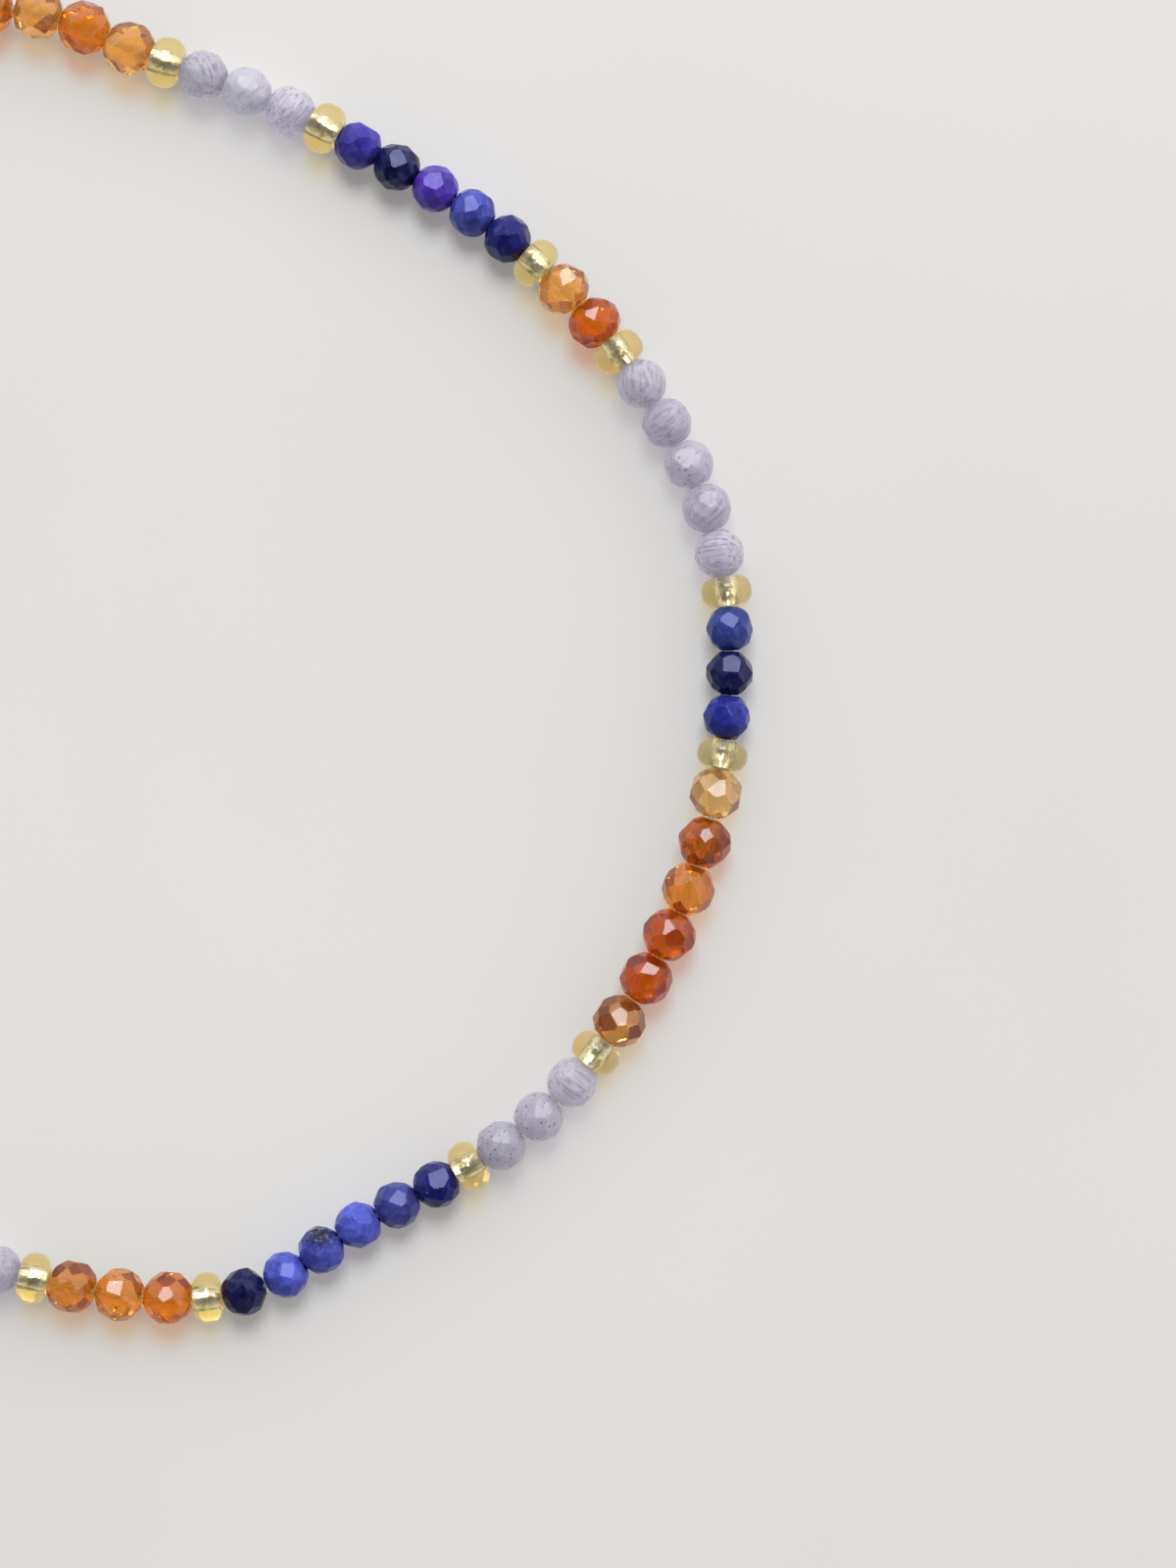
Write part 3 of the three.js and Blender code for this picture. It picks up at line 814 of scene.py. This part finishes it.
# Where the row bends, the drilled ends of two stones would meet on the inner
# side. Each gives way by half of that.
trim = np.zeros((len(stones), 2))
for i in range(len(stones) - 1):
    if stones[i][0] == stones[i + 1][0]:
        flats = [float(np.max(np.linalg.norm(c[np.abs(c[:, 2]) > np.abs(c[:, 2]).max() - 1e-4, :2], axis=1))) for c in (made[i][6], made[i + 1][6])]
        bend = math.acos(min(1.0, float(made[i][4][:, 2] @ made[i + 1][4][:, 2])))
        trim[i, 1] = trim[i + 1, 0] = max(0.0, sum(flats) / 2 * bend - TOUCH + 0.008) / 2
for index, (number, k, kind, length, at) in enumerate(stones):
    rng, look, height, origin, turn, keep, co, no, faces, mats, facet = made[index]
    word, facing, first, second = look[:4]
    squash = 1 - float(trim[index].sum()) / length
    co = co * [1, 1, squash] + [0, 0, (trim[index, 0] - trim[index, 1]) / 2]
    no = no / [1, 1, squash]
    no = no / np.linalg.norm(no, axis=1, keepdims=True)
    world = co @ turn.T
    world[:, 2] -= world[:, 2].min()
    world[:, :2] += origin[:2]
    # the stone's own pattern space: its streaks lie along z
    lie = math.radians(look[4] if len(look) > 4 else rng.uniform(0, 180))
    along = np.array([math.cos(lie), math.sin(lie), rng.uniform(-0.25, 0.25)])
    along /= np.linalg.norm(along)
    side = np.cross(along, [0, 0, 1.0])
    side /= np.linalg.norm(side)
    pattern = (world - [*origin[:2], height]) @ np.column_stack([side, np.cross(along, side), along]) + rng.uniform(-40, 40, 3)
    body = np.array(BODY[kind][word]) * (1 + rng.normal(0, 0.05))
    n = len(co)
    ore = np.zeros(n)
    if (number, k) == (8, 3):            # a patch of dark ore on one stone
        ore = np.clip(1.5 - np.linalg.norm(world - [origin[0] - 0.05, origin[1] + 0.75, 1.6], axis=1) * 1.6, 0, 1)
    run = runs.setdefault(number, (kind, Build()))[1]
    # painted shade: facets mostly in a belt below the stone's top get a much darker body colour, standing in for the
    # dark inner reflections of a clear stone
    lean = np.zeros(200)
    lean[facet] = (no @ turn.T)[:, 2]
    belt = (lean > 0.22) & (lean < 0.70)
    shade = np.where(rng.random(200) < np.where(belt, 0.72, 0.06), rng.uniform(0.5, 1.0, 200), 0.0)[facet]
    if keep is not None:
        shade[facet == keep[0] * ROUND + keep[1]] = 0
    run.add(world, no @ turn.T, faces, [min(mt, len(MATERIALS[kind]) - 1) for mt in mats],
            local=pattern, shade=shade, body=np.tile([*body, 1.0], (n, 1)),
            look=np.column_stack([np.full(n, first), np.full(n, second), ore]))

names = {"orange": 0, "lavender": 0, "blue": 0}
for number, (kind, build) in sorted(runs.items()):
    names[kind] += 1
    o = build.object(f"{kind}_stones_{names[kind]}", MATERIALS[kind])
    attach(o, "root")
    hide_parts(f"{kind}_run_{names[kind]}")

# -------------------------------------------------------------- seed beads
SEED_OUTSIDE = [   # radius and half length of a seed bead's outline, from the hole outwards
    (0.345, 0.53), (0.37, 0.575), (0.41, 0.61), (0.47, 0.64), (0.55, 0.67), (0.64, 0.685), (0.74, 0.67), (0.84, 0.62),
    (0.93, 0.53), (1.00, 0.43), (1.05, 0.33), (1.08, 0.235), (1.095, 0.14), (1.10, 0.06), (1.10, 0.0),
]
SEED_SHORT = {0: 0.97, 3: 0.98, 8: 0.88, 11: 0.94, 13: 0.97, 16: 0.97}     # seed beads that sit tight in a bend
AROUND = 56
WALL = 16
seed_build = Build()
for index, at in enumerate(seeds):
    rng = np.random.default_rng(9300 + index)
    origin, axes = stand(at, 1.1)
    roll = rng.uniform(0, 2 * math.pi)
    lean = np.array(Matrix.Rotation(rng.normal(0, 0.03), 3, Vector((1, 0, 0))) @ Matrix.Rotation(rng.normal(0, 0.03), 3, Vector((0, 1, 0))))
    stretch = min(rng.uniform(0.88, 1.04), SEED_SHORT.get(index, 1.04))
    outline = [(r, z) for r, z in SEED_OUTSIDE] + [(r, -z) for r, z in SEED_OUTSIDE[-2::-1]]
    outline = [(r, z * stretch) for r, z in outline]
    hole = [(0.345, -0.53 * stretch + 1.06 * stretch * k / WALL) for k in range(1, WALL)]
    rings = outline + hole
    co, no, local = [], [], []
    offset = rng.uniform(-30, 30, 3)
    for j, (r, z) in enumerate(rings):
        inside = j >= len(outline)
        a0, a1 = rings[j - 1], rings[(j + 1) % len(rings)]
        for i in range(AROUND):
            a = 2 * math.pi * i / AROUND + roll
            rr, zz = r, z
            if inside:          # the hole is a little square and its lining is crumpled
                p = Vector((math.cos(a) * 1.5, math.sin(a) * 1.5, z * 0.8)) + Vector(offset)
                rr = r * (1 + 0.05 * math.cos(4 * (a - roll))) + 0.05 * noise.noise(p * 1.9) + 0.016 * noise.noise(p * 4.3)
            co.append((rr * math.cos(a), rr * math.sin(a), zz))
            t = (a1[0] - a0[0], a1[1] - a0[1])
            nr, nz = -t[1], t[0]
            nr, nz = (nr, nz) if not inside else (-1.0, 0.0)
            length_ = math.hypot(nr, nz)
            nr, nz = nr / length_, nz / length_
            no.append((nr * math.cos(a), nr * math.sin(a), nz))
            local.append((co[-1][0] + offset[0], co[-1][1] + offset[1], co[-1][2] + offset[2]))
    faces, mats = [], []
    R = len(rings)
    for j in range(R):
        for i in range(AROUND):
            f = [j * AROUND + i, j * AROUND + (i + 1) % AROUND, ((j + 1) % R) * AROUND + (i + 1) % AROUND, ((j + 1) % R) * AROUND + i]
            faces.append(f[::-1])
            mats.append(1 if j >= len(outline) - 1 else 0)
    co, no = np.array(co), np.array(no)
    turn = axes @ lean
    world = co @ turn.T + origin
    seed_build.add(world, no @ turn.T, faces, mats, local=local)

bpy.context.view_layer.update()
GLASS, LINING = seed_glass(), seed_lining()
seed_object = seed_build.object("gold_seed_beads", [GLASS, LINING])
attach(seed_object, "root")
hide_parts(*[f"gold_seed_{k + 1}" for k in range(len(seeds))])

# ------------------------------------------------------------------ thread
start = clasp_at + CLASP_LENGTH / 2 - THREAD_IN_CLASP
end = clasp_at - CLASP_LENGTH / 2 + THREAD_IN_CLASP + LOOP
steps, sides = 1300, 12
yarn = Build()
co, no, local = [], [], []
for k in range(steps + 1):
    d = start + (end - start) * k / steps
    origin, axes = stand(d, THREAD_HEIGHT)
    twist = 2 * math.pi * d / 0.95
    for i in range(sides):
        a = 2 * math.pi * i / sides
        r = 0.125 * (0.72 + 0.28 * abs(math.cos(a)) ** 0.8)
        v = axes @ np.array([r * math.cos(a + twist), r * math.sin(a + twist), 0.0])
        co.append(origin + v)
        no.append(v)
        local.append((r * math.cos(a), r * math.sin(a), d))
faces = []
for k in range(steps):
    for i in range(sides):
        faces.append([k * sides + i, k * sides + (i + 1) % sides, (k + 1) * sides + (i + 1) % sides, (k + 1) * sides + i])
faces.append(list(range(sides))[::-1])
faces.append([steps * sides + i for i in range(sides)])
yarn.add(co, no, faces, [0] * len(faces), local=local)
thread_object = yarn.object("thread_twisted", [thread_yarn()])
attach(thread_object, "root")
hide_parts("thread")

# ------------------------------------------------------------------- clasp
half = CLASP_LENGTH / 2
STATIONS = [   # distance from the middle, reach of the flats, as the outside is turned
    (0.0, 1.2), (0.5, 1.2), (1.2, 1.2), (2.0, 1.2),
    (half - 0.95, 1.2), (half - 0.90, 1.185), (half - 0.87, 1.14), (half - 0.81, 1.14), (half - 0.78, 1.185), (half - 0.73, 1.2),
    (half - 0.50, 1.2), (half - 0.44, 1.185), (half - 0.40, 1.155), (half - 0.05, 0.80), (half - 0.015, 0.765), (half, 0.74),
]


def ring_of(reach, z, soft=0.16):
    """An eight-sided ring with softened corners."""
    pts = []
    for i in range(8):
        a0, a1 = (i - 0.0) * math.pi / 4, (i + 1) * math.pi / 4
        corner_a = (i + 0.5) * math.pi / 4
        c = reach / math.cos(math.pi / 8)
        corner = np.array([c * math.cos(corner_a), c * math.sin(corner_a)])
        f0, f1 = np.array([math.cos(a0), math.sin(a0)]), np.array([math.cos(a1), math.sin(a1)])
        s = min(soft, reach * 0.25) * math.tan(math.pi / 8)
        e0 = corner - s * np.array([-math.sin(a0), math.cos(a0)])
        e1 = corner + s * np.array([-math.sin(a1), math.cos(a1)])
        for w in (0, 1 / 3, 2 / 3, 1):
            q = (1 - w) ** 2 * e0 + 2 * w * (1 - w) * corner + w * w * e1
            pts.append((q[0], q[1], z))
    return pts


rows = [ring_of(r, -z) for z, r in STATIONS[:0:-1]] + [ring_of(r, z) for z, r in STATIONS]
n_ring = len(rows[0])
co = [p for row in rows for p in row]
faces = []
for j in range(len(rows) - 1):
    for i in range(n_ring):
        faces.append([j * n_ring + i, j * n_ring + (i + 1) % n_ring, (j + 1) * n_ring + (i + 1) % n_ring, (j + 1) * n_ring + i])
for side in (-1, 1):
    outer = [(0 if side < 0 else (len(rows) - 1) * n_ring) + i for i in range(n_ring)]
    previous = outer
    for r, dz in ((0.48, 0.0), (0.42, 0.05), (0.40, 0.12), (0.40, 1.38)):
        base = len(co)
        for i in range(n_ring):
            v = co[outer[i]]
            a = math.atan2(v[1], v[0])
            co.append((r * math.cos(a), r * math.sin(a), side * (half - dz)))
        now = [base + i for i in range(n_ring)]
        for i in range(n_ring):
            f = [previous[i], previous[(i + 1) % n_ring], now[(i + 1) % n_ring], now[i]]
            faces.append(f if side > 0 else f[::-1])
        previous = now
    faces.append(previous if side > 0 else previous[::-1])
origin, axes = stand(clasp_at, CLASP_ACROSS / 2)
world = np.array(co) @ axes.T + origin
mesh = bpy.data.meshes.new("clasp_barrel")
mesh.from_pydata([Vector(p) * MM for p in world], [], faces)
mesh.attributes.new("local", "FLOAT_VECTOR", "POINT").data.foreach_set("vector", np.array(co, np.float32).ravel())
mesh.materials.append(clasp_gold())
mesh.polygons.foreach_set("use_smooth", [True] * len(faces))
mesh.update()
clasp_object = bpy.data.objects.new("clasp_barrel", mesh)
bpy.context.scene.collection.objects.link(clasp_object)
edge = clasp_object.modifiers.new("edges", "WEIGHTED_NORMAL")
edge.weight = 90
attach(clasp_object, "root")
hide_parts("clasp")

# ------------------------------------------------- floor, light and camera
bm = bmesh.new()
bmesh.ops.create_grid(bm, x_segments=4, y_segments=4, size=2.0)
floor_mesh = bpy.data.meshes.new("floor")
bm.to_mesh(floor_mesh)
bm.free()
floor_mesh.materials.append(pale_floor())
floor = bpy.data.objects.new("floor", floor_mesh)
bpy.context.scene.collection.objects.link(floor)


def panel(name, azimuth, zenith, wide, tall, radiance):
    """A soft panel of light that faces the bracelet; wide and tall in degrees."""
    far = 0.6
    d = Vector(towards(azimuth, zenith))
    data = bpy.data.lights.new(name, "AREA")
    data.shape = "RECTANGLE"
    data.size = 2 * far * math.tan(math.radians(wide) / 2)
    data.size_y = 2 * far * math.tan(math.radians(tall) / 2)
    data.energy = radiance * math.pi * data.size * data.size_y
    data.color = (0.985, 0.99, 1.0)
    o = bpy.data.objects.new(name, data)
    bpy.context.scene.collection.objects.link(o)
    o.location = d * (far if name != "window" else far * 1.02)
    o.rotation_mode = "QUATERNION"
    o.rotation_quaternion = d.to_track_quat("Z", "Y")
    o.visible_camera = False


for row in PANELS:
    panel(*row)

world = bpy.data.worlds.new("room")
world.use_nodes = True
wt = world.node_tree
wt.nodes.clear()
w_out = wt.nodes.new("ShaderNodeOutputWorld")
w_bg = wt.nodes.new("ShaderNodeBackground")
w_dir = wt.nodes.new("ShaderNodeTexCoord")
w_sep = wt.nodes.new("ShaderNodeSeparateXYZ")
w_ramp = wt.nodes.new("ShaderNodeValToRGB")
wt.links.new(w_dir.outputs["Generated"], w_sep.inputs[0])
w_side = wt.nodes.new("ShaderNodeVectorMath")     # how far towards the window's side
w_side.operation = "DOT_PRODUCT"
w_side.inputs[1].default_value = (0.45, 0.89, 0.0)
w_share = wt.nodes.new("ShaderNodeMapRange")
w_share.interpolation_type = "SMOOTHSTEP"
for i, v in ((1, -0.7), (2, 0.7), (3, 0.35), (4, 1.45)):
    w_share.inputs[i].default_value = v
w_tint = wt.nodes.new("ShaderNodeVectorMath")
w_tint.operation = "SCALE"
wt.links.new(w_dir.outputs["Generated"], w_side.inputs[0])
wt.links.new(w_side.outputs["Value"], w_share.inputs[0])
wt.links.new(w_share.outputs[0], w_tint.inputs["Scale"])
wt.links.new(w_sep.outputs[2], w_ramp.inputs[0])
wt.links.new(w_ramp.outputs[0], w_tint.inputs[0])
wt.links.new(w_tint.outputs[0], w_bg.inputs[0])
wt.links.new(w_bg.outputs[0], w_out.inputs[0])
ramp_ = w_ramp.color_ramp
ramp_.elements[0].position, ramp_.elements[0].color = 0.0, (1.0, 0.93, 0.88, 1)
ramp_.elements[1].position, ramp_.elements[1].color = 1.0, (0.10, 0.10, 0.10, 1)
for position, colour in ((0.35, (1.0, 0.93, 0.88, 1)), (0.62, (0.42, 0.39, 0.37, 1)), (0.86, (0.13, 0.13, 0.13, 1))):
    e = ramp_.elements.new(position)
    e.color = colour
w_bg.inputs[1].default_value = 1.0

scene = bpy.context.scene
scene.world = world
camera_data = bpy.data.cameras.new("camera")
camera = bpy.data.objects.new("camera", camera_data)
scene.collection.objects.link(camera)
camera_data.sensor_width = 36.0
camera_data.lens = 36.0 * 150.0 / 67.8
camera_data.clip_start, camera_data.clip_end = 0.005, 10.0
camera.location = (0.0224, -0.0057, 0.1511)
scene.camera = camera
scene.view_settings.view_transform = "Standard"
scene.view_settings.look = "None"
scene.cycles.use_denoising = True
scene.cycles.denoiser = "OPENIMAGEDENOISE"
scene.cycles.denoising_input_passes = "RGB_ALBEDO_NORMAL"
scene.cycles.caustics_refractive = False
scene.cycles.caustics_reflective = False
scene.cycles.max_bounces = 12
scene.cycles.transmission_bounces = 10
scene.cycles.glossy_bounces = 6
scene.cycles.diffuse_bounces = 3
scene.cycles.transparent_max_bounces = 16
scene.cycles.sample_clamp_indirect = 6.0
